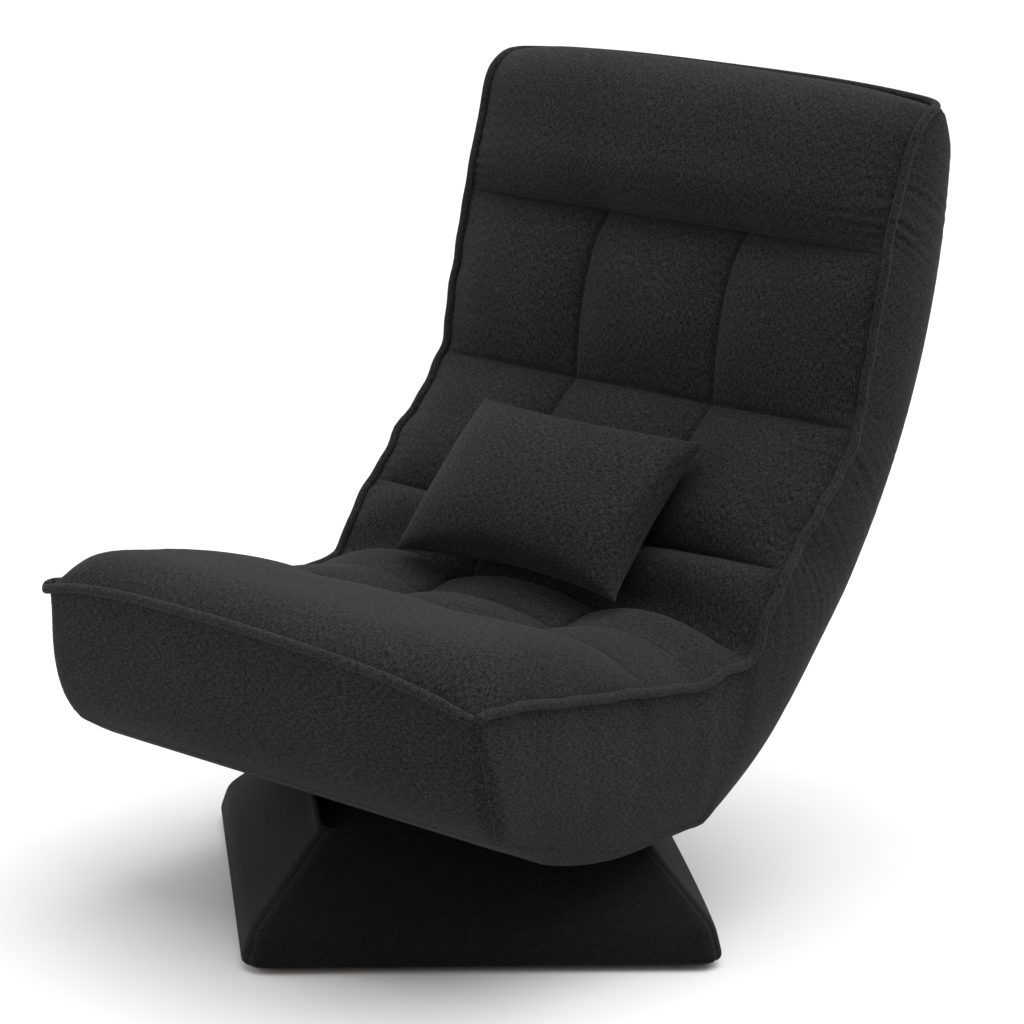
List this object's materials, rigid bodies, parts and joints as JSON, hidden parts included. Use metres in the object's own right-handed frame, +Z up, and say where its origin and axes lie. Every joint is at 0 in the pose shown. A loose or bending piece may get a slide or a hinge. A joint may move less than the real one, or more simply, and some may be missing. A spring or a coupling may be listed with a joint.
{
  "type": "swivel floor chair",
  "caption": "Low armless floor chair: quilted, welted pad that bends up into a reclining back, loose lumbar pillow, and a square tapered cloth base that it swivels on.",
  "frame": {"origin": "on the floor, on the swivel axis", "axes": "+Z up, the seat faces -Y, +X is to the right of someone who looks at the chair's front"},
  "size_m": [0.647, 0.7788, 0.8339],
  "materials": {
    "cover_cloth": "woven linen melange",
    "piping": "bias-cut woven linen melange",
    "dust_cloth": "spunbonded cloth",
    "webbing": "elastic webbing",
    "frame_paint": "satin powder coat",
    "board": "raw fibre board",
    "glide_plastic": "moulded",
    "cage_plastic": "moulded",
    "bearing_steel": "pressed and rolled",
    "zinc_steel": "zinc plated"
  },
  "bodies": {
    "base": {"floor_glides": "glide_plastic", "base_floor_frame": "frame_paint", "base_floor_tie": "frame_paint", "base_corner_posts": "frame_paint", "base_top_plate": "frame_paint", "base_side_boards": "board", "base_cover": "cover_cloth", "base_dust_cloth": "dust_cloth", "bearing_lower_race": "bearing_steel", "bearing_rivet": "bearing_steel", "lower_bolts": "zinc_steel", "lower_nuts": "zinc_steel"},
    "cage": {"ball_cage": "cage_plastic", "bearing_balls": "bearing_steel"},
    "seat": {"bearing_upper_race": "bearing_steel", "upper_bolts": "zinc_steel", "upper_nuts": "zinc_steel", "seat_mount_plate": "frame_paint", "seat_crossbars": "frame_paint", "seat_frame": "frame_paint", "seat_rear_tie": "frame_paint", "seat_webbing": "webbing", "hinge_seat_leaves": "zinc_steel", "hinge_washers": "cage_plastic", "hinge_pins": "zinc_steel", "hinge_nuts": "zinc_steel", "seat_cushion": "cover_cloth", "seat_bottom_panel": "cover_cloth", "seat_welt": "piping"},
    "back": {"hinge_back_leaves": "zinc_steel", "back_frame": "frame_paint", "back_ties": "frame_paint", "back_webbing": "webbing", "back_cushion": "cover_cloth", "back_rear_panel": "cover_cloth", "back_welt": "piping", "back_rear_welt": "piping"},
    "pillow": {"lumbar_pillow": "cover_cloth"}
  },
  "joints": [
    {"name": "swivel", "type": "hinge", "parent": "base", "child": "seat", "pos_m": [0, 0, 0], "axis": [0, 0, 1], "continuous": true},
    {"name": "cage_roll", "type": "hinge", "parent": "base", "child": "cage", "pos_m": [0, 0, 0], "axis": [0, 0, 1], "continuous": true},
    {"name": "recline", "type": "hinge", "parent": "seat", "child": "back", "pos_m": [0, 0.072, 0.169], "axis": [-1, 0, 0], "range_deg": [0, 40]},
    {"name": "pillow_lift", "type": "slide", "parent": "seat", "child": "pillow", "axis": [0, 0, 1], "range_m": [0, 0.4]}
  ],
  "couplings": [
    {"joint": "cage_roll", "follows": "swivel", "ratio": 0.5}
  ]
}
